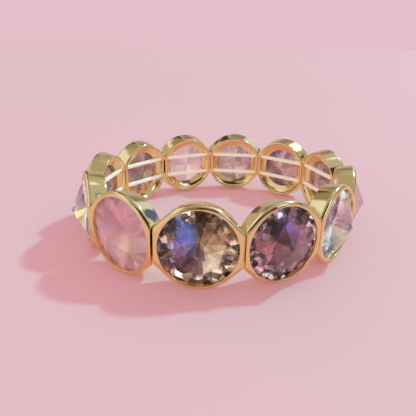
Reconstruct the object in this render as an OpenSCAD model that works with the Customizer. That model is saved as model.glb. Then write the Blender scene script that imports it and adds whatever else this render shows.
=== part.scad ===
// Stretch bracelet: a ring of cup settings, each holding a pointed round crystal,
// strung on two parallel elastic cords that run through bores in the settings' side walls.
// Millimetres. +Z is up, the bracelet lies flat, and the origin is on the surface that it
// rests on, at the middle of the ring. The first setting faces -Y, the next one is towards +X.

/* [Ring] */
// Number of settings round the ring
setting_count = 12; // [8:4:16]
// Distance from one joint to the next, measured at half depth
setting_pitch = 16.3; // [16.2:0.1:17.5]
// Turn of the first setting about +Z
ring_turn = -5.6; // [-15:0.1:15]
// Extra bend of the joints at the two tight ends of the slightly oval ring
oval_bend = 4.3; // [0:0.1:5]
// Direction of the oval's tight ends, counted from -Y
oval_direction = 135; // [0:5:180]
// Gap between the flat sides of neighbouring settings, at half depth
joint_gap = 0.28; // [0.24:0.02:0.6]

/* [Setting] */
// Depth of a setting, from the back rim to the crest of the front lip
setting_depth = 4.5; // [4.4:0.1:5.5]
// Radius of the cup at the front lip
front_radius = 8.75; // [8.6:0.05:9.2]
// Radius of the cup at the back rim
back_radius = 8.15; // [8:0.05:8.6]
// Half the height of a flat side at the front
flat_half_height = 3.8; // [3.4:0.1:4]
// Half the height of a flat side at the back, where it runs into the round cup with hardly a shoulder
back_flat_half_height = 3.5; // [3.4:0.05:3.7]
// Direction of the shoulders that run from the flat sides into the round cup
shoulder_angle = 49; // [48:1:52]
// Rounding of the front lip's outer edge
lip_rounding = 0.45; // [0.2:0.05:0.5]
// Diameter of the opening inside the front lip
lip_opening = 15.3; // [15:0.1:15.4]
// Depth of the opening's edge below the crest of the lip
lip_recess = 0.3; // [0.2:0.05:0.4]
// Width of the slope from the crest of the lip to the opening's edge
lip_slope_width = 0.5; // [0.3:0.05:0.6]
// Depth of the stone's girdle below the opening's edge
girdle_drop = 0.45; // [0.4:0.05:0.55]

/* [Back of a setting] */
// Width of the back rim
rim_width = 0.6; // [0.5:0.05:0.9]
// Rounding of the back rim's outer edge
rim_rounding = 0.2; // [0.1:0.05:0.25]
// Depth of the hollow behind the stone's seat
recess_depth = 1.95; // [1.8:0.05:2]
// Width of the hollow's curved edge
recess_bowl = 1.9; // [1.5:0.1:2]
// Half the width of the hollow, between the two side walls
recess_half_width = 6.6; // [6.3:0.1:6.7]
// Diameter of the hole in the stone's seat
seat_hole = 11.2; // [10.4:0.1:11.4]

/* [Stone] */
// Diameter of a stone at its girdle
stone_diameter = 15.7; // [15.5:0.1:15.8]
// Height of the pointed front above the girdle
crown_height = 3.85; // [3:0.05:4.5]
// Height of the girdle
girdle_height = 0.25; // [0.2:0.05:0.3]
// Depth of the pointed back below the girdle
pavilion_height = 2.5; // [2:0.1:2.6]
// Number of main facets on each side of a stone
main_facets = 8; // [6:1:10]
// Distance of the main facets' side corners from the stone's axis, as a share of its radius
facet_corner = 0.62; // [0.5:0.01:0.75]
// Play all round a seated stone
stone_play = 0.1; // [0.08:0.01:0.12]

/* [Elastic] */
// Diameter of an elastic cord
cord_diameter = 1.1; // [0.9:0.05:1.2]
// Height between the two cords
cord_spacing = 5.3; // [5.2:0.1:5.6]
// Distance from the back rim to the cords' axes
cord_inset = 1.05; // [1:0.01:1.1]
// Diameter of the bores that the cords run through
cord_bore = 1.5; // [1.4:0.05:1.6]
// Radius of the cords' bend at each joint
cord_bend = 3.4; // [2:0.1:4]

/* [Hidden] */
function two_digits(k) = str(k < 10 ? "0" : "", k);
numbers = [for (k = [1 : setting_count]) two_digits(k)];

$fn = 96;
// Larger than any piece, for half-spaces and cuts that run right through
reach = 60;
// Steps of an arc in a turned profile
arc_steps = 6;

// The ring: the settings stand on equal chords, and the joints bend by joint_angle
joint_angle = 360 / setting_count;
half_joint = joint_angle / 2;
mid_radius = setting_pitch / 2 / tan(half_joint);
front_z = setting_depth / 2;
back_z = -setting_depth / 2;

function sum(list, upto) = upto == 0 ? 0 : list[upto - 1] + sum(list, upto - 1);
function mean(list) = sum(list, len(list)) / len(list);
function bend_at(k) =
    joint_angle + oval_bend * cos(2 * (ring_turn + joint_angle * (k + 0.5) - oval_direction));
bends = [for (k = [0 : setting_count - 1]) bend_at(k)];
raw_headings = [for (k = [0 : setting_count - 1]) sum(bends, k)];
even_headings = [for (k = [0 : setting_count - 1]) joint_angle * k];
heading_shift = ring_turn - mean(raw_headings) + mean(even_headings);
headings = [for (h = raw_headings) h + heading_shift];

function along(h) = [cos(h), sin(h), 0];
function outward(h) = [sin(h), -cos(h), 0];
steps = [for (k = [0 : setting_count - 2])
    setting_pitch / 2 * (along(headings[k]) + along(headings[k + 1]))];
function walk(k) = k == 0 ? [0, 0, 0] : walk(k - 1) + steps[k - 1];
raw_places = [for (k = [0 : setting_count - 1]) walk(k)];
ring_middle = [
    mean([for (p = raw_places) p[0]]),
    mean([for (p = raw_places) p[1]]),
    0
];
places = [for (p = raw_places) p - ring_middle + [0, 0, front_radius]];

// The setting: half the width of its wedge between the joints, at a height z over half depth
function half_width(z) = (mid_radius + z) * tan(half_joint) - joint_gap / 2 / cos(half_joint);
shoulder_front = half_width(front_z) * cos(shoulder_angle)
    + flat_half_height * sin(shoulder_angle);
shoulder_back = half_width(back_z) * cos(shoulder_angle)
    + back_flat_half_height * sin(shoulder_angle);
shoulder_mid = (shoulder_front + shoulder_back) / 2;
shoulder_lean = atan((shoulder_front - shoulder_back) / setting_depth);
// Half the height of the block that the shoulders bound, which ends inside the round cup
shoulder_top = shoulder_mid * sin(shoulder_angle);
// The block of the shoulders stays a little below the crest of the lip and above the rim
shoulder_drop = 0.12;

// The stone in its setting
stone_radius = stone_diameter / 2;
opening_radius = lip_opening / 2;
pocket_radius = stone_radius + stone_play;
seat_radius = seat_hole / 2;
facet_angle = 360 / main_facets;
// Slim facets along the girdle between two main facets
edge_facets = 4;
girdle_sides = main_facets * edge_facets;
// Height of a main facet's side corner over the girdle, which keeps the facet flat
function corner_height(h) = h - h * facet_corner * cos(facet_angle / 2);
function edge_slope(h) = corner_height(h) / (stone_radius * (1 - facet_corner));
girdle_top = front_z - lip_recess - girdle_drop;
girdle_bottom = girdle_top - girdle_height;
lip_under = girdle_top + (stone_radius - opening_radius) * edge_slope(crown_height);
function seat_height(r) =
    girdle_bottom - stone_play - (stone_radius - r) * edge_slope(pavilion_height);

// The cords
cord_radius = cord_diameter / 2;
cord_z = back_z + cord_inset;
// Sides of a cord's cross-section, and steps of its bend at a joint
cord_sides = 8;
bend_steps = 3;

gold = [0.86, 0.68, 0.36];
elastic_white = [0.93, 0.92, 0.9];
champagne = [0.72, 0.6, 0.45];
amethyst = [0.56, 0.4, 0.56];
clear = [0.82, 0.84, 0.92];
rose = [0.92, 0.68, 0.74];
stone_colours = [champagne, amethyst, clear, rose];
function colour_of(k) = stone_colours[k % len(stone_colours)];

// Puts a piece that is drawn on its own axes, front towards +Z and top towards +Y, into the ring
module at_place(k) {
    translate(places[k]) rotate([90, 0, headings[k]]) children();
}

function arc(centre, radii, from, to) = [
    for (s = [0 : arc_steps])
        let (a = from + (to - from) * s / arc_steps)
        [centre[0] + radii[0] * cos(a), centre[1] + radii[1] * sin(a)]
];

// Outside of the cup as turned: a cone with a rounded lip in front and a rounded rim behind
module cup_blank() {
    rotate_extrude()
        polygon(concat(
            [[0, back_z]],
            arc([back_radius - rim_rounding, back_z + rim_rounding],
                [rim_rounding, rim_rounding], -90, 0),
            arc([front_radius - lip_rounding, front_z - lip_rounding],
                [lip_rounding, lip_rounding], 0, 90),
            [[0, front_z]]
        ));
}

module shoulder_half_space(angle) {
    rotate([0, 0, angle])
        translate([shoulder_mid, 0, 0])
            rotate([0, shoulder_lean, 0])
                translate([-reach, -reach / 2, -reach / 2])
                    cube(reach);
}

// Block that squares the cup's sides: four leaning shoulders meet the two flat sides
module shoulder_block() {
    intersection() {
        translate([-reach / 2, -shoulder_top, back_z + shoulder_drop])
            cube([reach, 2 * shoulder_top, setting_depth - 2 * shoulder_drop]);
        shoulder_half_space(shoulder_angle);
        shoulder_half_space(180 - shoulder_angle);
        shoulder_half_space(180 + shoulder_angle);
        shoulder_half_space(-shoulder_angle);
    }
}

// Space between the two joints, narrower towards the wrist
module joint_wedge() {
    rotate([90, 0, 0])
        linear_extrude(reach, center = true)
            polygon([
                [-half_width(2 * back_z), 2 * back_z],
                [half_width(2 * back_z), 2 * back_z],
                [half_width(2 * front_z), 2 * front_z],
                [-half_width(2 * front_z), 2 * front_z]
            ]);
}

// Opening in front, pocket for the girdle, sloping seat and the hole behind it
module stone_pocket() {
    crest_radius = opening_radius + lip_slope_width;
    rotate_extrude()
        polygon([
            [0, 2 * front_z],
            [crest_radius + lip_slope_width, front_z + lip_recess],
            [opening_radius, front_z - lip_recess],
            [opening_radius, lip_under + stone_play],
            [pocket_radius, girdle_top + stone_play],
            [pocket_radius, seat_height(pocket_radius)],
            [seat_radius, seat_height(seat_radius)],
            [seat_radius, back_z / 2],
            [0, back_z / 2]
        ]);
}

// Hollow back with a curved edge, cut off at the two side walls
module back_recess() {
    rim_inside = back_radius - rim_width;
    intersection() {
        rotate_extrude()
            polygon(concat(
                [[0, 2 * back_z], [rim_inside, 2 * back_z]],
                arc([rim_inside - recess_bowl, back_z], [recess_bowl, recess_depth], 0, 90),
                [[0, back_z + recess_depth]]
            ));
        translate([-recess_half_width, -reach / 2, -reach / 2])
            cube([2 * recess_half_width, reach, reach]);
    }
}

module cord_bores() {
    for (side = [-1, 1])
        translate([0, side * cord_spacing / 2, cord_z])
            rotate([0, 90, 0])
                cylinder(h = reach, d = cord_bore, center = true);
}

// A cup setting with its front towards +Z
module bezel() {
    color(gold)
        difference() {
            intersection() {
                union() {
                    cup_blank();
                    shoulder_block();
                }
                joint_wedge();
            }
            stone_pocket();
            back_recess();
            cord_bores();
        }
}

// Girdle and corner points of a stone, each ring listed once round
function ring_points(r, z, n, shift) = [
    for (s = [0 : n - 1])
        let (a = (s + shift) * 360 / n)
        [r * cos(a), r * sin(a), z]
];

// Facets of one side of a stone: main kites from the tip, and slim facets between them at the girdle
function kite_faces(tip, corners, girdle) = [
    for (s = [0 : main_facets - 1])
        [tip, corners + (s + main_facets - 1) % main_facets, girdle + edge_facets * s, corners + s]
];
function edge_faces(corners, girdle) = [
    for (s = [0 : main_facets - 1])
        for (q = [edge_facets * s : edge_facets * (s + 1) - 1])
            [corners + s, girdle + q, girdle + (q + 1) % girdle_sides]
];
function reversed(face) = [for (s = [len(face) - 1 : -1 : 0]) face[s]];

// A pointed crystal with its front towards +Z
module stone(colour) {
    top_tip = 0;
    top_corners = 1;
    top_girdle = top_corners + main_facets;
    low_tip = top_girdle + girdle_sides;
    low_corners = low_tip + 1;
    low_girdle = low_corners + main_facets;
    corner_radius = stone_radius * facet_corner;
    points = concat(
        [[0, 0, girdle_top + crown_height]],
        ring_points(corner_radius, girdle_top + corner_height(crown_height), main_facets, 0.5),
        ring_points(stone_radius, girdle_top, girdle_sides, 0),
        [[0, 0, girdle_bottom - pavilion_height]],
        ring_points(corner_radius, girdle_bottom - corner_height(pavilion_height), main_facets, 0.5),
        ring_points(stone_radius, girdle_bottom, girdle_sides, 0)
    );
    upper = concat(kite_faces(top_tip, top_corners, top_girdle), edge_faces(top_corners, top_girdle));
    lower = concat(kite_faces(low_tip, low_corners, low_girdle), edge_faces(low_corners, low_girdle));
    band = [
        for (s = [0 : girdle_sides - 1])
            let (next = (s + 1) % girdle_sides)
            [top_girdle + s, low_girdle + s, low_girdle + next, top_girdle + next]
    ];
    color(colour)
        polyhedron(
            points = points,
            faces = concat([for (f = upper) reversed(f)], lower, [for (f = band) reversed(f)])
        );
}

// Length of a cord's straight stretch, from a setting's middle to the bend at a joint
function straight_half(bend) =
    setting_pitch / 2 + cord_z * tan(bend / 2) - cord_bend * tan(bend / 2);
function bend_centre(k) =
    places[k] + (cord_z - cord_bend) * outward(headings[k])
    + straight_half(bends[k]) * along(headings[k]);
// Cross-sections of a cord through the bend at one joint, each with its middle and heading
function bend_sections(k) = [
    for (s = [0 : bend_steps])
        let (h = headings[k] + bends[k] * s / bend_steps)
        [bend_centre(k) + cord_bend * outward(h), h]
];

// One elastic cord: a closed tube that runs straight through each setting and bends at the joints
module elastic(height) {
    sections = [for (k = [0 : setting_count - 1]) each bend_sections(k)];
    points = [
        for (s = sections)
            for (q = [0 : cord_sides - 1])
                let (a = (q + 0.5) * 360 / cord_sides)
                s[0] + cord_radius * cos(a) * outward(s[1]) + [0, 0, height + cord_radius * sin(a)]
    ];
    faces = [
        for (s = [0 : len(sections) - 1])
            for (q = [0 : cord_sides - 1])
                let (
                    here = s * cord_sides,
                    there = (s + 1) % len(sections) * cord_sides,
                    turned = (q + 1) % cord_sides
                )
                [here + q, there + q, there + turned, here + turned]
    ];
    color(elastic_white)
        polyhedron(points = points, faces = faces);
}

for (k = [0 : setting_count - 1]) {
    at_place(k) bezel();
    at_place(k) stone(colour_of(k));
}
elastic(cord_spacing / 2);  // elastic_upper
elastic(-cord_spacing / 2);  // elastic_lower
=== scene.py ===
# Stretch bracelet: twelve polished cup settings with pointed crystals on two elastic cords.
import math

import bmesh
import bpy
from mathutils import Matrix, Vector


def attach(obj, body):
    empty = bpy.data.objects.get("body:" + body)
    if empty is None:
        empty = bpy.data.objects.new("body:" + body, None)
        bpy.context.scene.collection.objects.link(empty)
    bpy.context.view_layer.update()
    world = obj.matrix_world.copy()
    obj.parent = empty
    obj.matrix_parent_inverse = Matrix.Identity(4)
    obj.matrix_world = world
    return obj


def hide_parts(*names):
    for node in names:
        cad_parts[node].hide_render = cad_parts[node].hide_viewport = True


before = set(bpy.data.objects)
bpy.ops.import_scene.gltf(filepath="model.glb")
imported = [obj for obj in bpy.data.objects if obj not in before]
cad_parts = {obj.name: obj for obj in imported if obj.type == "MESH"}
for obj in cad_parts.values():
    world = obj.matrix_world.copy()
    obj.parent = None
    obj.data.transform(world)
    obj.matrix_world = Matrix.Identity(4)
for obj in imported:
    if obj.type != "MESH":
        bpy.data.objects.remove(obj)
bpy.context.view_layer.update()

# Sizes are in millimetres, which MM turns into metres, and angles in degrees.
MM = 0.001
SETTINGS = 12
BODY = "root"

# The ring: the turn of the first setting, and the uneven bend that makes a slight oval
PITCH = 16.3
RING_TURN = -5.6
OVAL_BEND = 4.3
OVAL_DIRECTION = 135
JOINT_GAP = 0.28

# A setting: the cup
DEPTH = 4.5
FRONT_Z = DEPTH / 2
BACK_Z = -DEPTH / 2
FRONT_RADIUS = 8.75
BACK_RADIUS = 8.0
WALL_BULGE = 0.05
FRONT_SHOULDER = 45.4
BACK_SHOULDER = 30
CORNER_ROUNDING = 0.5

# A setting: the front lip
OPENING_HALF_WIDTH = 7.7
OPENING_HALF_HEIGHT = 7.75
LIP_ROUND_WIDTH = 0.88
LIP_ROUND_DEPTH = 0.95
LIP_SIDE_ROUND = 0.16
LIP_EDGE = 0.1
LIP_DROP = 0.35

# A setting: the hollow back, and the pocket and seat of the stone
RIM_ROUNDING = 0.4
RECESS_RADIUS = 7.5
RECESS_HALF_WIDTH = 6.65
RECESS_ROUNDING = 1.2
RECESS_DEPTH = 1.65
RECESS_WEB = 0.45
WEB_EDGE = 0.25
SEAT_HALF_WIDTH = 5.5
SEAT_HALF_HEIGHT = 5.6
SEAT_Z = 0.12
POCKET_RADIUS = 7.95
POCKET_PLAY = 0.1

# A stone: its sizes, its facets, and the tinted eighths that they fall in
STONE_RADIUS = 7.85
GIRDLE_TOP = FRONT_Z - 0.75
GIRDLE_BOTTOM = GIRDLE_TOP - 0.25
CROWN = 3.85
PAVILION = 2.5
CROWN_FACETS = 8
PAVILION_FACETS = 16
GIRDLE_SIDES = 32
FACET_CORNER = 0.62
FIRST_TURN = -14.5
TURN_STEP = 4.5
SECTORS = 8

# The marks of a facet: which tint it has, how much painted light or shade it gets, and how much painted
# sparkle breaks it up into shards
FACET_MARKS = ("facet_tone", "facet_painted_light", "facet_painted_sparkle")
# How dark the painted shade of a facet can go in front and behind, and the share of painted sparkle on
# kites and points
DARKEST_IN_FRONT = 0.6
DARKEST_BEHIND = 0.12
KITE_PAINTED_SPARKLE = 0.15
POINT_PAINTED_SPARKLE = 0.8

# The cords
CORD_RADIUS = 0.55
CORD_Z = BACK_Z + 1.05
CORD_HALF_SPACING = 2.65
CORD_BEND = 3.4
CORD_BORE_RADIUS = 0.75
CORD_BORE_LENGTH = 40

# The floor
FLOOR_RADIUS = 6000
FLOOR_SIDES = 96

# How finely the outlines are cut: flat side, corner, shoulder and round part of a quarter
FLAT_STEPS, CORNER_STEPS, SHOULDER_STEPS, ROUND_STEPS = 3, 5, 3, 18
# Where the loops lie: parts of the way across the hollow and up the wall, and steps round the rim and lip
HOLLOW_STEPS = (0, 0.1, 0.3, 0.5, 0.65, 0.78, 0.87, 0.93, 0.97, 0.99, 1)
RIM_STEPS = 10
WALL_STEPS = (0.04, 0.2, 0.4, 0.6, 0.8, 0.97)
LIP_STEPS = 12
# The lip's inner edge: the part of LIP_EDGE that each loop stands outside the opening, and its drop
LIP_EDGE_STEPS = ((1.0, 0.0), (0.7, 0.02), (0.3, 0.1), (0.0, 0.25))
BORE_SIDES = 28
CORD_BEND_STEPS = 8
CORD_SIDES = 16

# Edges that turn by more than this stay crisp
GOLD_CREASE = 32
CORD_CREASE = 60

# Materials: waves or cells of their textures in a metre, and the glass
GOLD_CLOUDS, GOLD_RIPPLES = 220, 420
FACET_CLOUDS, FILM_CLOUDS = 420, 160
ELASTIC_CLOUDS, FLOOR_CLOUDS = 900, 6
# Cells of the painted sparkle on the facets, and of the flecks on the film behind
PAINTED_SPARKLE_SHARDS, FLECKS = 750, 900
GLASS_IOR = 1.58
# How strongly the film behind shows the painted glow
FILM_PAINTED_GLOW = 0.3

HALF_JOINT = math.pi / SETTINGS
MID_RADIUS = PITCH / 2 / math.tan(HALF_JOINT)


def along(h):
    """The way that the row runs at the heading h."""
    return Vector((math.cos(h), math.sin(h), 0))


def outward(h):
    """The way from the wrist to the front at the heading h."""
    return Vector((math.sin(h), -math.cos(h), 0))


def ring_layout():
    """Bends, headings and middles of the settings, as in the construction: equal chords round an oval."""
    joint = 2 * HALF_JOINT
    bends = []
    for k in range(SETTINGS):
        where = math.radians(RING_TURN - OVAL_DIRECTION) + joint * (k + 0.5)
        bends.append(joint + math.radians(OVAL_BEND) * math.cos(2 * where))
    raw = [sum(bends[:k]) for k in range(SETTINGS)]
    even = [joint * k for k in range(SETTINGS)]
    shift = math.radians(RING_TURN) + (sum(even) - sum(raw)) / SETTINGS
    headings = [h + shift for h in raw]
    places = [Vector((0, 0, 0))]
    for k in range(SETTINGS - 1):
        places.append(places[-1] + PITCH / 2 * (along(headings[k]) + along(headings[k + 1])))
    middle = sum(places, Vector((0, 0, 0))) / SETTINGS
    lift = Vector((0, 0, FRONT_RADIUS))
    return bends, headings, [p - middle + lift for p in places]


BENDS, HEADINGS, PLACES = ring_layout()


def place_matrix(k):
    """From a setting's own axes, +Z outward and +Y up in millimetres, into the row frame."""
    turn = Matrix.Rotation(HEADINGS[k], 4, "Z") @ Matrix.Rotation(math.pi / 2, 4, "X")
    return Matrix.Translation(PLACES[k] * MM) @ turn @ Matrix.Scale(MM, 4)


# Nodes

def fill_inputs(tree, node, inputs):
    """Sets or links a node's inputs. Each is named by its socket, or by i and its number."""
    for key, value in inputs.items():
        socket = node.inputs[int(key[1:]) if key[0] == "i" and key[1:].isdigit() else key]
        if isinstance(value, bpy.types.NodeSocket):
            tree.links.new(value, socket)
        else:
            socket.default_value = value


def add(tree, kind, settings=None, **inputs):
    """A new node with its own settings and its inputs."""
    node = tree.nodes.new(kind)
    for key, value in (settings or {}).items():
        setattr(node, key, value)
    fill_inputs(tree, node, inputs)
    return node


def computed(tree, operation, *values):
    """The result of one operation on plain numbers."""
    inputs = {f"i{q}": value for q, value in enumerate(values)}
    return add(tree, "ShaderNodeMath", {"operation": operation}, **inputs).outputs[0]


def mapped(tree, value, source, target, style="LINEAR"):
    """A value taken from the source range to the target range, and held inside it."""
    return add(tree, "ShaderNodeMapRange", {"interpolation_type": style}, i0=value,
               i1=source[0], i2=source[1], i3=target[0], i4=target[1]).outputs[0]


def mixed(tree, share, first, second):
    """A blend of two colours, each of them a socket or red, green and blue."""
    pair = [c if isinstance(c, bpy.types.NodeSocket) else (*c, 1) for c in (first, second)]
    return add(tree, "ShaderNodeMix", {"data_type": "RGBA"}, i0=share, i6=pair[0], i7=pair[1]).outputs[2]


def scaled(tree, colour, factor):
    """A colour made lighter or darker."""
    return add(tree, "ShaderNodeVectorMath", {"operation": "SCALE"}, i0=colour, Scale=factor).outputs[0]


def object_place(tree):
    """Where a point lies in its object, in metres."""
    return add(tree, "ShaderNodeTexCoord").outputs["Object"]


def clouds(tree, where, scale, detail):
    """Soft noise with so many waves in a metre."""
    return add(tree, "ShaderNodeTexNoise", Vector=where, Scale=scale, Detail=detail).outputs[0]


def cell_picks(tree, where, scale):
    """Two random numbers for each cell of a mosaic with so many cells in a metre."""
    cells = add(tree, "ShaderNodeTexVoronoi", Vector=where, Scale=scale)
    picks = add(tree, "ShaderNodeSeparateXYZ", Vector=cells.outputs["Color"])
    return picks.outputs[0], picks.outputs[1]


def mark(tree, name):
    """The mark of that name on each facet."""
    return add(tree, "ShaderNodeAttribute", {"attribute_name": name}).outputs["Fac"]


def fill_ramp(ramp, rows):
    """Sets the stops of a colour ramp from rows of position and colour."""
    stops = ramp.color_ramp.elements
    for q, (position, colour) in enumerate(rows):
        stop = stops[q] if q < 2 else stops.new(position)
        stop.position = position
        stop.color = (*colour, 1)


# Materials

def new_material(name):
    """An empty node material with its principled shader."""
    mat = bpy.data.materials.new(name)
    mat.use_nodes = True
    tree = mat.node_tree
    tree.nodes.clear()
    shader = tree.nodes.new("ShaderNodeBsdfPrincipled")
    output = tree.nodes.new("ShaderNodeOutputMaterial")
    tree.links.new(shader.outputs[0], output.inputs[0])
    return mat, tree, shader


def gold_material():
    """Polished gold tone, a little uneven in tint, gloss and smoothness."""
    mat, tree, shader = new_material("polished_gold")
    where = object_place(tree)
    cloud = clouds(tree, where, GOLD_CLOUDS, 3)
    ripple = clouds(tree, where, GOLD_RIPPLES, 1)
    bump = add(tree, "ShaderNodeBump", Height=ripple, Strength=0.05, Distance=0.2 * MM)
    fill_inputs(tree, shader, {
        "Metallic": 1,
        "Roughness": mapped(tree, cloud, (0.3, 0.7), (0.07, 0.12)),
        "Base Color": mixed(tree, cloud, (0.93, 0.735, 0.34), (0.95, 0.775, 0.4)),
        "Normal": bump.outputs[0],
    })
    return mat


def facet_colour(tree, colours, painted_sparkle):
    """The tint that a facet's marks pick, made lighter or darker by its painted light and shade. Painted
    sparkle breaks it up into small lighter and darker shards and painted white glints, which stand in for
    the crystal's reflections.
    """
    tone, light, broken = (mark(tree, name) for name in FACET_MARKS)
    ramp = add(tree, "ShaderNodeValToRGB", Fac=tone)
    ramp.color_ramp.interpolation = "CONSTANT"
    fill_ramp(ramp, [(q / len(colours), colour) for q, colour in enumerate(colours)])
    where = object_place(tree)
    cloud = clouds(tree, where, FACET_CLOUDS, 2)
    strength = computed(tree, "MULTIPLY", mapped(tree, cloud, (0.3, 0.7), (0.85, 1.0)), light)
    tinted = scaled(tree, ramp.outputs[0], strength)
    if not painted_sparkle:
        return tinted
    # Painted sparkle: shards made lighter or darker, and a few painted white glints
    shade_pick, painted_glint_pick = cell_picks(tree, where, PAINTED_SPARKLE_SHARDS)
    offset = mapped(tree, shade_pick, (0.2, 0.8), (-painted_sparkle, painted_sparkle / 2))
    shaded = scaled(tree, tinted, computed(tree, "MULTIPLY_ADD", offset, broken, 1.0))
    painted_glint = mapped(tree, painted_glint_pick, (0.86, 0.87), (0.0, painted_sparkle))
    return mixed(tree, computed(tree, "MULTIPLY", painted_glint, broken), shaded, (1, 1, 1))


def film_colour(tree, behind, flecks):
    """What a stone's back shows to the wrist: two tints in soft clouds, with painted light and shade from
    facet to facet, broken up by faint flecks.
    """
    where = object_place(tree)
    share = mapped(tree, clouds(tree, where, FILM_CLOUDS, 1), (0.4, 0.6), (0.0, 1.0))
    # Painted light and shade, facet by facet
    facet = mapped(tree, mark(tree, "facet_painted_light"), (0.25, 1.0), (0.65, 1.2))
    fleck = mapped(tree, cell_picks(tree, where, FLECKS)[0], (0.15, 0.85), (1 - flecks, 1 + flecks))
    return scaled(tree, mixed(tree, share, *behind), computed(tree, "MULTIPLY", facet, fleck))


def crystal_material(name, colours, painted_sparkle=0.0, roughness=0.0, clear=1.0):
    """The front of a crystal: clear glass whose facets have their own tints."""
    mat, tree, shader = new_material(name)
    fill_inputs(tree, shader, {
        "Base Color": facet_colour(tree, colours, painted_sparkle),
        "Roughness": roughness,
        "IOR": GLASS_IOR,
        "Transmission Weight": clear,
    })
    return mat


def coating_material(name, colours, behind, painted_glow, painted_sparkle=0.0, flecks=0.15,
                     roughness=0.03, clear=0.2, metal=0.5):
    """The coated back of a crystal: tinted facets seen through the glass, and a film seen from behind.
    Both give off a painted glow, which makes them look lit.
    """
    mat, tree, shader = new_material(name)
    inner = facet_colour(tree, colours, painted_sparkle)
    film = film_colour(tree, behind, flecks)
    inside = add(tree, "ShaderNodeNewGeometry").outputs["Backfacing"]
    fill_inputs(tree, shader, {
        "Base Color": mixed(tree, inside, film, inner),
        # Painted glow: the facets seen through the glass glow in their tints, and the film behind glows
        # faintly
        "Emission Color": mixed(tree, inside, scaled(tree, film, FILM_PAINTED_GLOW), inner),
        "Emission Strength": painted_glow,
        "Roughness": roughness,
        "IOR": GLASS_IOR,
        "Transmission Weight": clear,
        "Metallic": metal,
    })
    return mat


def elastic_material():
    """Translucent off-white elastic, with a faint painted glow that makes it look lit."""
    mat, tree, shader = new_material("elastic_white")
    cloud = clouds(tree, object_place(tree), ELASTIC_CLOUDS, 2)
    colour = mixed(tree, cloud, (0.92, 0.87, 0.76), (0.97, 0.93, 0.82))
    fill_inputs(tree, shader, {
        "Base Color": colour,
        # Painted glow: the elastic gives off its own colour, as if lit
        "Emission Color": colour,
        "Emission Strength": 0.25,
        "Roughness": 0.35,
        "Subsurface Weight": 0.5,
        "Subsurface Radius": (1, 0.9, 0.9),
        "Subsurface Scale": 0.6 * MM,
    })
    return mat


def floor_material():
    """Pale pink and matt, a little lit from within, as a bright room would light it."""
    mat, tree, shader = new_material("pale_floor")
    cloud = clouds(tree, object_place(tree), FLOOR_CLOUDS, 2)
    fill_inputs(tree, shader, {
        "Base Color": mixed(tree, cloud, (0.785, 0.52, 0.575), (0.8, 0.535, 0.59)),
        "Emission Color": (0.644, 0.319, 0.352, 1),
        "Emission Strength": 0.3,
        "Roughness": 0.7,
    })
    return mat


# Meshes

def finish_mesh(name, bm, materials, smooth_below=None):
    """A new object from a bmesh. Edges that turn by more than smooth_below degrees stay crisp."""
    bmesh.ops.recalc_face_normals(bm, faces=bm.faces)
    for face in bm.faces:
        face.smooth = smooth_below is not None
    if smooth_below is not None:
        limit = math.radians(smooth_below)
        for edge in bm.edges:
            edge.smooth = len(edge.link_faces) == 2 and edge.calc_face_angle(0) < limit
    mesh = bpy.data.meshes.new(name)
    bm.to_mesh(mesh)
    bm.free()
    for material in materials:
        mesh.materials.append(material)
    obj = bpy.data.objects.new(name, mesh)
    bpy.context.scene.collection.objects.link(obj)
    return obj


def arc_points(start, end, steps):
    """Angles from start to end, both included."""
    return [start + (end - start) * s / steps for s in range(steps + 1)]


def quarter_to_loop(quarter):
    """A closed loop from its first quarter, mirrored in both axes, with no point twice."""
    upper_left = [(-x, y) for x, y in reversed(quarter[:-1])]
    lower_left = [(-x, -y) for x, y in quarter[1:]]
    lower_right = [(x, -y) for x, y in reversed(quarter[:-1])]
    return quarter + upper_left + lower_left + lower_right[:-1]


def outer_loop(radius, half_width, shoulder, rounding):
    """Outline of a cup: a circle with flat sides, joined by shoulders that leave the circle smoothly."""
    tau = math.radians(shoulder)
    corner_y = (radius - half_width * math.cos(tau)) / math.sin(tau)
    trim = rounding * math.tan(tau / 2)
    quarter = [(half_width, (corner_y - trim) * s / FLAT_STEPS) for s in range(FLAT_STEPS)]
    middle = (half_width - rounding, corner_y - trim)
    for a in arc_points(0, tau, CORNER_STEPS):
        quarter.append((middle[0] + rounding * math.cos(a), middle[1] + rounding * math.sin(a)))
    last = quarter[-1]
    tangent = (radius * math.cos(tau), radius * math.sin(tau))
    for s in range(1, SHOULDER_STEPS):
        part = s / SHOULDER_STEPS
        quarter.append((last[0] + (tangent[0] - last[0]) * part,
                        last[1] + (tangent[1] - last[1]) * part))
    for a in arc_points(tau, math.pi / 2, ROUND_STEPS):
        quarter.append((radius * math.cos(a), radius * math.sin(a)))
    return quarter_to_loop(quarter)


def recess_loop(radius, half_width, rounding):
    """Outline of the hollow back: a circle cut off by two straight side walls, with rounded corners."""
    centre_x = half_width - rounding
    centre_y = math.sqrt((radius - rounding) ** 2 - centre_x ** 2)
    turn = math.atan2(centre_y, centre_x)
    quarter = [(half_width, centre_y * s / FLAT_STEPS) for s in range(FLAT_STEPS)]
    for a in arc_points(0, turn, CORNER_STEPS):
        quarter.append((centre_x + rounding * math.cos(a), centre_y + rounding * math.sin(a)))
    for a in arc_points(turn, math.pi / 2, SHOULDER_STEPS + ROUND_STEPS)[1:]:
        quarter.append((radius * math.cos(a), radius * math.sin(a)))
    return quarter_to_loop(quarter)


def ellipse_loop(like, half_width, half_height):
    """An oval or round loop whose points lie in the same directions as those of another loop."""
    points = []
    for x, y in like:
        a = math.atan2(y / half_height, x / half_width)
        points.append((half_width * math.cos(a), half_height * math.sin(a)))
    return points


def between(loop_a, loop_b, part):
    """A loop part of the way from one loop to another."""
    return [(ax + (bx - ax) * part, ay + (by - ay) * part) for (ax, ay), (bx, by) in zip(loop_a, loop_b)]


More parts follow.
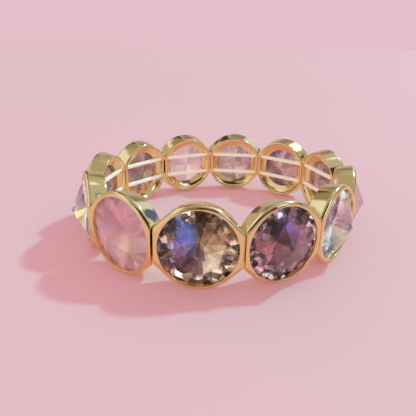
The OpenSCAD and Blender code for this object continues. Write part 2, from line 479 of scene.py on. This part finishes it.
def half_width_at(z):
    """Half the width between a setting's flat sides, which lean in towards the wrist."""
    return (MID_RADIUS + z) * math.tan(HALF_JOINT) - JOINT_GAP / 2 / math.cos(HALF_JOINT)


def wall_loop(z, round_inset=0.0, side_inset=0.0):
    """Outline of the tapering cup at a height z, moved inward by its insets."""
    share = (z - BACK_Z) / (DEPTH - LIP_ROUND_DEPTH)
    radius = BACK_RADIUS + (FRONT_RADIUS - BACK_RADIUS) * share + WALL_BULGE * math.sin(math.pi * share)
    shoulder = BACK_SHOULDER + (FRONT_SHOULDER - BACK_SHOULDER) * share
    return outer_loop(radius - round_inset, half_width_at(z) - side_inset, shoulder, CORNER_ROUNDING)


def bezel_loops():
    """Loops of a setting, in order: seat hole, hollow back, back rim, wall, front lip, pocket, seat."""
    rows = []
    floor = BACK_Z + RECESS_DEPTH
    mouth = BACK_Z + RIM_ROUNDING / 2
    rim_inner = recess_loop(RECESS_RADIUS, RECESS_HALF_WIDTH, RECESS_ROUNDING)
    seat_edge = ellipse_loop(rim_inner, SEAT_HALF_WIDTH, SEAT_HALF_HEIGHT)
    rows.append((seat_edge, floor + WEB_EDGE))
    # The hollow back: a gently sloping web round the hole, which turns up into a steep wall
    for part in HOLLOW_STEPS:
        wall = (1 - part ** 3) ** (1 / 3)
        rise = ((floor - mouth) * (1 - (1 - RECESS_WEB) * wall)
                - (floor - mouth) * RECESS_WEB * (1 - part))
        rows.append((between(seat_edge, rim_inner, part), floor - rise))
    # The rounded back rim
    rim_outer = wall_loop(BACK_Z + RIM_ROUNDING)
    for a in arc_points(0, math.pi, RIM_STEPS)[1:-1]:
        part = (1 - math.cos(a)) / 2
        rows.append((between(rim_inner, rim_outer, part),
                     BACK_Z + RIM_ROUNDING * (1 - math.sin(a)) * (0.5 + 0.5 * part)))
    rows.append((rim_outer, BACK_Z + RIM_ROUNDING))
    # The tapering wall
    wall_end = FRONT_Z - LIP_ROUND_DEPTH
    for part in WALL_STEPS:
        z = BACK_Z + RIM_ROUNDING + (wall_end - BACK_Z - RIM_ROUNDING) * part
        rows.append((wall_loop(z), z))
    # The front lip: fully rounded outside, and a narrow edge at the opening
    widen = half_width_at(FRONT_Z) - half_width_at(wall_end)
    for a in arc_points(0, math.pi / 2, LIP_STEPS):
        inward = 1 - math.cos(a)
        rise = math.sin(a)
        side_inset = LIP_SIDE_ROUND * inward - widen * rise
        rows.append((wall_loop(wall_end, LIP_ROUND_WIDTH * inward, side_inset),
                     wall_end + LIP_ROUND_DEPTH * rise))
    crest = rows[-1][0]
    for wider, drop in LIP_EDGE_STEPS:
        rows.append((ellipse_loop(crest, OPENING_HALF_WIDTH + LIP_EDGE * wider,
                                  OPENING_HALF_HEIGHT + LIP_EDGE * wider), FRONT_Z - drop))
    opening = ellipse_loop(crest, OPENING_HALF_WIDTH, OPENING_HALF_HEIGHT)
    rows.append((opening, FRONT_Z - LIP_DROP))
    # The pocket and the seat, behind the stone
    pocket = ellipse_loop(crest, POCKET_RADIUS, POCKET_RADIUS)
    rows.append((pocket, GIRDLE_TOP + POCKET_PLAY))
    rows.append((pocket, GIRDLE_BOTTOM - POCKET_PLAY))
    rows.append((ellipse_loop(crest, SEAT_HALF_WIDTH, SEAT_HALF_HEIGHT), SEAT_Z))
    return rows


def skin_rings(bm, rings):
    """Faces from each ring of points to the next, and from the last one back to the first."""
    count = len(rings[0])
    for low, high in zip(rings, rings[1:] + rings[:1]):
        for q in range(count):
            r = (q + 1) % count
            bm.faces.new((low[q], low[r], high[r], high[q]))


def bore_tool():
    """Two round bars where the cords run, to cut the side walls with."""
    bm = bmesh.new()
    crossways = Matrix.Rotation(math.pi / 2, 4, "Y")
    for side in (-1, 1):
        bar = Matrix.Translation((0, side * CORD_HALF_SPACING, CORD_Z)) @ crossways
        bmesh.ops.create_cone(bm, cap_ends=True, segments=BORE_SIDES, radius1=CORD_BORE_RADIUS,
                              radius2=CORD_BORE_RADIUS, depth=CORD_BORE_LENGTH, matrix=bar)
    mesh = bpy.data.meshes.new("bore_tool")
    bm.to_mesh(mesh)
    bm.free()
    obj = bpy.data.objects.new("bore_tool", mesh)
    bpy.context.scene.collection.objects.link(obj)
    return obj


def bezel_template():
    """One setting on its own axes, in millimetres, with its two pairs of cord bores cut through."""
    bm = bmesh.new()
    skin_rings(bm, [[bm.verts.new((x, y, z)) for x, y in loop] for loop, z in bezel_loops()])
    plain = finish_mesh("bezel_plain", bm, [GOLD], GOLD_CREASE)
    tool = bore_tool()
    cut = plain.modifiers.new("bores", "BOOLEAN")
    cut.object = tool
    cut.operation = "DIFFERENCE"
    cut.solver = "EXACT"
    done = bpy.data.meshes.new_from_object(plain.evaluated_get(bpy.context.evaluated_depsgraph_get()))
    bpy.data.objects.remove(plain)
    bpy.data.objects.remove(tool)
    return done


def ring_points(radius, z, count, turn):
    """Points evenly round a circle, the first one at the angle turn."""
    step = 2 * math.pi / count
    angles = [turn + s * step for s in range(count)]
    return [Vector((radius * math.cos(a), radius * math.sin(a), z)) for a in angles]


def spread(q):
    """A number between 0 and 1 that jumps about from one facet to the next."""
    return (q * 0.618) % 1


def stone_side(bm, marks, girdle, tip_z, facets, turn, material, darkest):
    """One side of a stone: kites from the tip, each in two parts, and slim facets between them."""
    girdle_z = girdle[0].co.z
    step = 2 * math.pi / facets
    each = GIRDLE_SIDES // facets
    corner_z = girdle_z + (tip_z - girdle_z) * (1 - FACET_CORNER * math.cos(step / 2))
    tip = bm.verts.new((0, 0, tip_z))
    corner_points = ring_points(STONE_RADIUS * FACET_CORNER, corner_z, facets, turn + step / 2)
    corners = [bm.verts.new(p) for p in corner_points]

    def facet(corner_verts, tone, light, broken):
        face = bm.faces.new(corner_verts)
        # Each facet's tint, its painted light or shade, and its share of painted sparkle
        face[marks[0]] = (tone + 0.5) / (SECTORS + 1)
        face[marks[1]] = 1 - (1 - darkest) * light
        face[marks[2]] = broken
        face.material_index = material

    for s in range(facets):
        sector = SECTORS * s // facets
        light = spread(3 * s + 1)
        facet((tip, corners[s - 1], corners[s]), sector, light, KITE_PAINTED_SPARKLE)
        point = (corners[s - 1], girdle[each * s], corners[s])
        facet(point, sector if s % 2 else SECTORS, light, POINT_PAINTED_SPARKLE)
        for q in range(each * s, each * (s + 1)):
            slim = (corners[s], girdle[q], girdle[(q + 1) % GIRDLE_SIDES])
            facet(slim, sector if q % 3 == 1 else SECTORS, spread(q + 0.4), 1)


def stone_mesh(turn):
    """A round crystal, pointed on both sides. Its facets carry marks that pick their tints, their painted
    light or shade and their painted sparkle.
    """
    bm = bmesh.new()
    marks = [bm.faces.layers.float.new(name) for name in FACET_MARKS]
    upper = [bm.verts.new(p) for p in ring_points(STONE_RADIUS, GIRDLE_TOP, GIRDLE_SIDES, turn)]
    lower = [bm.verts.new(p) for p in ring_points(STONE_RADIUS, GIRDLE_BOTTOM, GIRDLE_SIDES, turn)]
    for q in range(GIRDLE_SIDES):
        r = (q + 1) % GIRDLE_SIDES
        side = bm.faces.new((lower[q], lower[r], upper[r], upper[q]))
        side[marks[1]] = 1
    half_step = math.pi / PAVILION_FACETS
    stone_side(bm, marks, upper, GIRDLE_TOP + CROWN, CROWN_FACETS, turn, 0, DARKEST_IN_FRONT)
    stone_side(bm, marks, lower[-1:] + lower[:-1], GIRDLE_BOTTOM - PAVILION, PAVILION_FACETS,
               turn - half_step, 1, DARKEST_BEHIND)
    return bm


def cord_sections():
    """Middles and headings along a cord: straight through each setting, with a bend at each joint."""
    sections = []
    for place, h, bend in zip(PLACES, HEADINGS, BENDS):
        straight = PITCH / 2 + (CORD_Z - CORD_BEND) * math.tan(bend / 2)
        centre = place + (CORD_Z - CORD_BEND) * outward(h) + straight * along(h)
        for s in range(CORD_BEND_STEPS + 1):
            turned = h + bend * s / CORD_BEND_STEPS
            sections.append((centre + CORD_BEND * outward(turned), turned))
    return sections


def cord_mesh(height):
    """A closed round tube at that height from the middle of the settings."""
    bm = bmesh.new()
    rings = []
    for middle, h in cord_sections():
        ring = []
        for q in range(CORD_SIDES):
            a = 2 * math.pi * q / CORD_SIDES
            offset = CORD_RADIUS * (math.cos(a) * outward(h) + Vector((0, 0, math.sin(a))))
            ring.append(bm.verts.new((middle + Vector((0, 0, height)) + offset) * MM))
        rings.append(ring)
    skin_rings(bm, rings)
    return bm


# The camera, worked out from the photograph: its distance from the ring's middle on the floor, its
# angles, and its lens and sensor in millimetres
CAMERA_DISTANCE = 112.9
CAMERA_ELEVATION = 23.48
CAMERA_YAW = -1.79
CAMERA_PITCH = 21.38
CAMERA_ROLL = 1.51
CAMERA_LENS = 37.03
CAMERA_SENSOR = 36
NEAREST = 5


def make_camera():
    """The photograph's own view."""
    angles = (CAMERA_ELEVATION, CAMERA_YAW, CAMERA_PITCH, CAMERA_ROLL)
    elevation, yaw, pitch, roll = (math.radians(a) for a in angles)
    forward = Vector((math.sin(yaw) * math.cos(pitch), math.cos(yaw) * math.cos(pitch), -math.sin(pitch)))
    level = Vector((math.cos(yaw), -math.sin(yaw), 0))
    upright = level.cross(forward)
    right = math.cos(roll) * level + math.sin(roll) * upright
    up = -math.sin(roll) * level + math.cos(roll) * upright
    data = bpy.data.cameras.new("camera")
    data.lens = CAMERA_LENS
    data.sensor_width = CAMERA_SENSOR
    data.clip_start = NEAREST * MM
    camera = bpy.data.objects.new("camera", data)
    place = Vector((0, -math.cos(elevation), math.sin(elevation))) * CAMERA_DISTANCE * MM
    turn = Matrix((right, up, -forward)).transposed().to_4x4()
    camera.matrix_world = Matrix.Translation(place) @ turn
    bpy.context.scene.collection.objects.link(camera)
    bpy.context.scene.camera = camera


def direction(azimuth, elevation):
    """A unit vector: azimuth counted from +X towards +Y, elevation above the floor, in degrees."""
    a, e = math.radians(azimuth), math.radians(elevation)
    return Vector((math.cos(a) * math.cos(e), math.sin(a) * math.cos(e), math.sin(e)))


def sun_light(name, azimuth, elevation, angle, strength, colour):
    """A lamp far away, in the given direction, that looks angle degrees wide."""
    data = bpy.data.lights.new(name, "SUN")
    data.angle = math.radians(angle)
    data.energy = strength
    data.color = colour
    lamp = bpy.data.objects.new(name, data)
    lamp.rotation_euler = direction(azimuth, elevation).to_track_quat("Z", "Y").to_euler()
    bpy.context.scene.collection.objects.link(lamp)


def leaning(tree, view, axis):
    """How far a view leans towards an axis: 1 along it, 0 across it and -1 away from it."""
    dot = add(tree, "ShaderNodeVectorMath", {"operation": "DOT_PRODUCT"}, i0=view, i1=axis)
    return dot.outputs["Value"]


def add_patch(tree, view, under, azimuth, elevation, width, height, softness, colour):
    """Lays a soft-edged rectangle of one colour over the surroundings. Sizes are in degrees."""
    middle = direction(azimuth, elevation)
    across = direction(azimuth + 90, 0)
    upward = middle.cross(across)
    masks = []
    for axis, size in ((across, width), (upward, height)):
        half = math.sin(math.radians(size / 2))
        distance = computed(tree, "ABSOLUTE", leaning(tree, view, axis))
        edge = (half * (1 + softness), half * (1 - softness))
        masks.append(mapped(tree, distance, edge, (0.0, 1.0), "SMOOTHSTEP"))
    ahead = computed(tree, "GREATER_THAN", leaning(tree, view, middle), 0.0)
    mask = computed(tree, "MULTIPLY", computed(tree, "MULTIPLY", *masks), ahead)
    return mixed(tree, mask, under, colour)


# The room round the bracelet: the sine of the elevation, and the colour there
ROOM = (
    (0.0, (0.56, 0.45, 0.47)),
    (0.4, (0.5, 0.44, 0.46)),
    (0.7, (0.46, 0.43, 0.4)),
    (0.9, (0.43, 0.41, 0.35)),
)
# What the gold mirrors. A row has azimuth, elevation, width, height, softness of the edges and colour.
STUDIO = (
    # large soft panels overhead and behind
    (30, 68, 54, 30, 0.3, (0.5, 0.53, 0.57)),
    (166, 48, 60, 23, 0.15, (0.84, 0.9, 1.0)),
    (-136, 35, 36, 18, 0.2, (0.86, 0.82, 0.9)),
    (-152, 14, 60, 30, 0.3, (0.78, 0.68, 0.76)),
    # the dark side where the camera stands
    (-66, 46, 54, 34, 0.15, (0.05, 0.035, 0.02)),
    (-116, 46, 40, 14, 0.2, (0.05, 0.035, 0.02)),
    (-32, 36, 17, 32, 0.15, (1.0, 1.2, 1.8)),
    (-104, 13, 26, 28, 0.2, (0.2, 0.13, 0.1)),
    (-40, 12, 18, 26, 0.2, (0.18, 0.1, 0.08)),
    # dark and blue things behind the ring
    (16, 27, 18, 12, 0.2, (0.1, 0.06, 0.05)),
    (60, 24, 20, 30, 0.3, (0.7, 0.78, 1.05)),
    (42, 20, 13, 17, 0.2, (0.1, 0.16, 0.45)),
    (82, 34, 24, 20, 0.3, (0.29, 0.27, 0.25)),
    (50, 69, 10, 8, 0.2, (0.9, 1.0, 1.3)),
    (112, 34, 15, 24, 0.15, (0.06, 0.05, 0.03)),
    (114, 14, 12, 9, 0.2, (0.12, 0.1, 0.09)),
    (127, 52, 26, 20, 0.3, (0.3, 0.28, 0.23)),
    # the window that the sun comes through
    (44, 49, 29, 16, 0.1, (1.15, 1.35, 2.1)),
)
# The even light on matt surfaces, and the backdrop
AMBIENT = (0.67, 0.475, 0.48)
BACKDROP = (0.78, 0.52, 0.585)
# What the crystals throw back: a brighter room with a dark middle, small bright lamps and a warm side
# The rows are as in STUDIO.
SPARKLE = 2.6
SPARKLE_LIGHTS = (
    (-78, 28, 30, 24, 0.2, (0.1, 0.08, 0.08)),
    (-145, 36, 26, 22, 0.1, (5.4, 4.7, 1.3)),
    (-100, 64, 24, 14, 0.1, (6.0, 5.8, 5.6)),
    (-48, 50, 16, 16, 0.1, (5.0, 4.2, 4.6)),
    (-30, 14, 14, 14, 0.1, (5.0, 3.9, 4.1)),
    (-168, 10, 48, 24, 0.1, (4.6, 3.7, 0.6)),
    (-112, 8, 12, 12, 0.1, (5.0, 5.0, 5.2)),
    (146, 35, 50, 50, 0.3, (0.85, 0.65, 0.1)),
)


def make_world():
    """Soft studio surroundings, an even light for matt surfaces, and a plain backdrop for the camera."""
    world = bpy.data.worlds.new("studio")
    bpy.context.scene.world = world
    world.use_nodes = True
    tree = world.node_tree
    tree.nodes.clear()
    view = add(tree, "ShaderNodeTexCoord").outputs["Generated"]
    height = add(tree, "ShaderNodeSeparateXYZ", Vector=view).outputs["Z"]
    ramp = add(tree, "ShaderNodeValToRGB", Fac=height)
    fill_ramp(ramp, ROOM)
    mirrored = ramp.outputs[0]
    for panel in STUDIO:
        mirrored = add_patch(tree, view, mirrored, *panel)
    thrown_back = scaled(tree, ramp.outputs[0], SPARKLE)
    for panel in SPARKLE_LIGHTS:
        thrown_back = add_patch(tree, view, thrown_back, *panel)
    ray = add(tree, "ShaderNodeLightPath")
    colour = mixed(tree, ray.outputs["Is Transmission Ray"], mirrored, thrown_back)
    colour = mixed(tree, ray.outputs["Is Diffuse Ray"], colour, AMBIENT)
    colour = mixed(tree, ray.outputs["Is Camera Ray"], colour, BACKDROP)
    background = add(tree, "ShaderNodeBackground", Color=colour, Strength=1.0)
    output = add(tree, "ShaderNodeOutputWorld")
    tree.links.new(background.outputs[0], output.inputs[0])


def make_floor():
    """A wide round floor under the bracelet."""
    bm = bmesh.new()
    bmesh.ops.create_circle(bm, cap_ends=True, segments=FLOOR_SIDES, radius=FLOOR_RADIUS * MM)
    floor = finish_mesh("floor", bm, [floor_material()])


# Tints of crystal
CLEAR, SHELL, CREAM = (0.97, 0.97, 0.97), (0.97, 0.8, 0.8), (1, 0.89, 0.7)
MIST, RUST = (0.7, 0.68, 0.8), (0.3, 0.12, 0.12)
LILAC, ICE, STRAW = (0.78, 0.48, 0.83), (0.62, 0.9, 0.97), (0.97, 0.88, 0.64)
HONEY, UMBER, WINE = (0.62, 0.36, 0.18), (0.26, 0.12, 0.06), (0.07, 0.02, 0.025)
SKY, DUSK, VIOLET = (0.1, 0.16, 0.58), (0.1, 0.08, 0.3), (0.3, 0.17, 0.6)
PLUM, MAUVE, HEATHER = (0.08, 0.045, 0.075), (0.4, 0.26, 0.28), (0.5, 0.24, 0.29)
BERRY, BRICK, COCOA = (0.62, 0.27, 0.34), (0.42, 0.18, 0.18), (0.3, 0.16, 0.1)
BLUSH, PINK, PETAL, MILK = (0.93, 0.5, 0.58), (0.95, 0.58, 0.65), (0.97, 0.68, 0.73), (0.97, 0.76, 0.76)

GOLD = gold_material()
# One tint for each eighth of the stone, and a last one for the small facets
FRONTS = {
    "champagne": crystal_material(
        "champagne_crystal",
        (CREAM, HONEY, UMBER, SKY, DUSK, PLUM, MAUVE, CREAM, COCOA),
        painted_sparkle=0.95),
    "amethyst": crystal_material(
        "amethyst_crystal",
        (BERRY, HEATHER, VIOLET, WINE, RUST, HEATHER, HEATHER, BRICK, BRICK),
        painted_sparkle=0.95),
    "clear": crystal_material(
        "clear_crystal",
        (CREAM, SHELL, LILAC, LILAC, MIST, ICE, STRAW, STRAW, CLEAR),
        painted_sparkle=0.6),
    "rose": crystal_material(
        "rose_opal",
        (PINK, BLUSH, BLUSH, PETAL, PINK, PINK, PETAL, MILK, PINK),
        roughness=0.4, clear=0.7),
}
# The same for the coats, then the two tints of the film behind, and the strength of the painted glow
BACKS = {
    "champagne": coating_material(
        "champagne_coating",
        ((1, 0.88, 0.72), (0.6, 0.42, 0.3), (0.4, 0.26, 0.18), (0.45, 0.55, 0.85), (0.45, 0.4, 0.7),
         (0.36, 0.22, 0.24), (0.55, 0.36, 0.34), (1, 0.86, 0.7), (0.5, 0.33, 0.25)),
        ((0.36, 0.22, 0.2), (0.62, 0.42, 0.38)),
        painted_glow=1.1, painted_sparkle=0.8),
    "amethyst": coating_material(
        "amethyst_coating",
        ((0.6, 0.4, 0.42), (0.6, 0.36, 0.5), (0.5, 0.34, 0.8), (0.16, 0.07, 0.07), (0.4, 0.2, 0.2),
         (0.6, 0.36, 0.4), (0.75, 0.5, 0.5), (0.5, 0.3, 0.34), (0.8, 0.6, 0.65)),
        ((0.27, 0.18, 0.24), (0.62, 0.4, 0.36)),
        painted_glow=0.8, painted_sparkle=0.9),
    "clear": coating_material(
        "clear_coating",
        ((0.9, 0.65, 0.6), (0.9, 0.62, 0.6), (0.85, 0.55, 0.65), (0.8, 0.55, 0.7), (0.65, 0.55, 0.62),
         (0.65, 0.72, 0.78), (0.85, 0.76, 0.58), (0.9, 0.76, 0.52), (0.9, 0.85, 0.82)),
        ((0.6, 0.4, 0.4), (0.75, 0.62, 0.6)),
        painted_glow=0.7, painted_sparkle=0.5),
    "rose": coating_material(
        "rose_opal_back",
        (PINK, BLUSH, BLUSH, PETAL, PINK, PETAL, MILK, MILK, PETAL),
        ((0.9, 0.8, 0.8), (0.95, 0.86, 0.86)),
        painted_glow=0.48, flecks=0.0, roughness=0.3, clear=0.7, metal=0.0),
}
SEQUENCE = ("champagne", "amethyst", "clear", "rose")
ELASTIC = elastic_material()


def add_setting(k, template):
    """A gold setting at its place in the ring."""
    number = f"{k + 1:02d}"
    setting = bpy.data.objects.new(f"setting_{number}", template.copy())
    setting.data.transform(place_matrix(k))
    bpy.context.scene.collection.objects.link(setting)
    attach(setting, BODY)
    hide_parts(f"bezel_{number}")


def add_crystal(k):
    """The stone of a setting. Each is turned a little further than the one before it."""
    number = f"{k + 1:02d}"
    kind = SEQUENCE[k % len(SEQUENCE)]
    turn = math.radians(FIRST_TURN + TURN_STEP * k)
    crystal = finish_mesh(f"crystal_{number}", stone_mesh(turn), [FRONTS[kind], BACKS[kind]])
    crystal.data.transform(place_matrix(k))
    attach(crystal, BODY)
    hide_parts(f"stone_{number}")


def add_cord(name, height):
    """One of the two elastic cords."""
    cord = finish_mesh(f"cord_{name}", cord_mesh(height), [ELASTIC], CORD_CREASE)
    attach(cord, BODY)
    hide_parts(f"elastic_{name}")


make_camera()
make_world()
make_floor()
sun_light("key", azimuth=38, elevation=48, angle=4.5, strength=1.3, colour=(0.25, 1, 0.97))

bezel = bezel_template()
for k in range(SETTINGS):
    add_setting(k, bezel)
    add_crystal(k)
add_cord("upper", CORD_HALF_SPACING)
add_cord("lower", -CORD_HALF_SPACING)

scene = bpy.context.scene
scene.view_settings.view_transform = "Standard"
scene.cycles.max_bounces = 16
scene.cycles.transmission_bounces = 16
scene.cycles.glossy_bounces = 8
